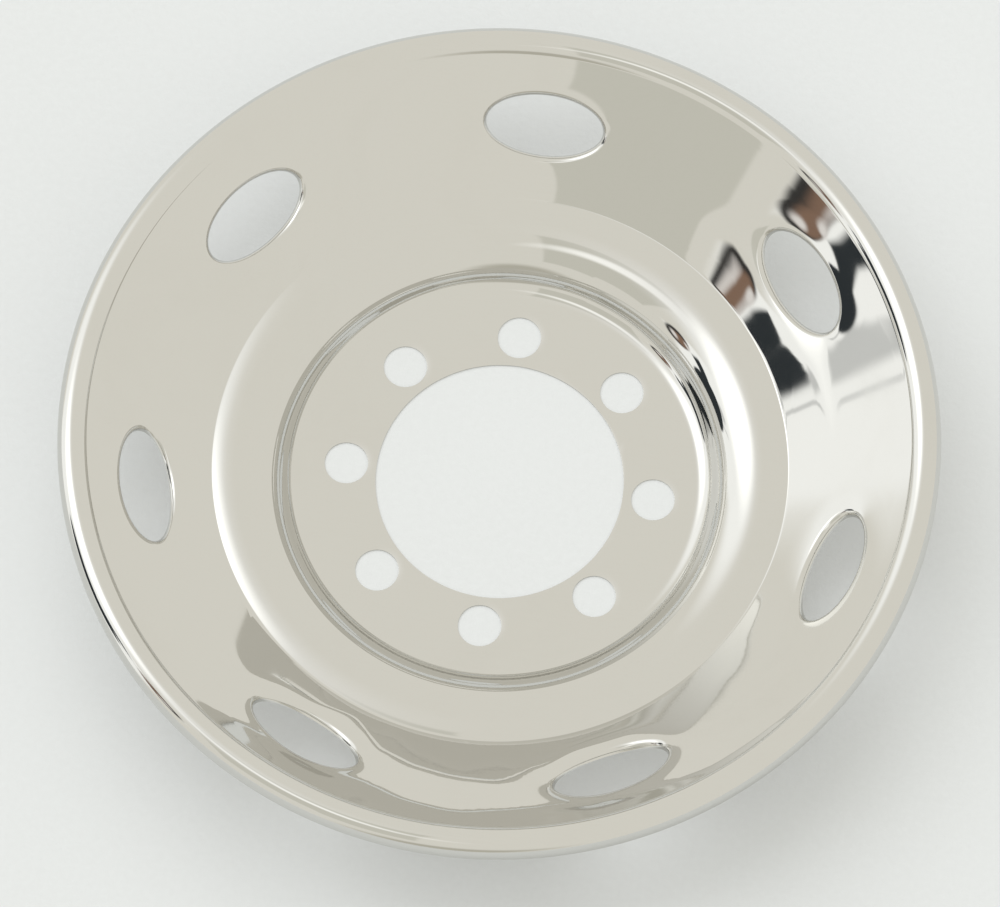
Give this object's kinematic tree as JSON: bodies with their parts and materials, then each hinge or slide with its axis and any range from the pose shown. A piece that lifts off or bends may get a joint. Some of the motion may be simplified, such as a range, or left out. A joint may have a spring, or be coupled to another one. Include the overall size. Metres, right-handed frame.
{
  "type": "truck wheel simulator",
  "caption": "Dished round liner of polished stainless sheet that covers a truck wheel's face, with a hub hole, lug holes in a flat flange, oval hand holes and a rolled lip.",
  "frame": {"origin": "on the axis, at the back face of the hub flange, which the liner lies on", "axes": "+Z along the wheel's axis, out of the open side of the dish; +Y to the hand hole that is in line with a lug hole"},
  "size_m": [0.4696, 0.4696, 0.0724],
  "materials": {
    "polished_stainless": "mirror-polished stainless steel sheet"
  },
  "bodies": {
    "root": {"wheel_liner": "polished_stainless"}
  },
  "joints": []
}
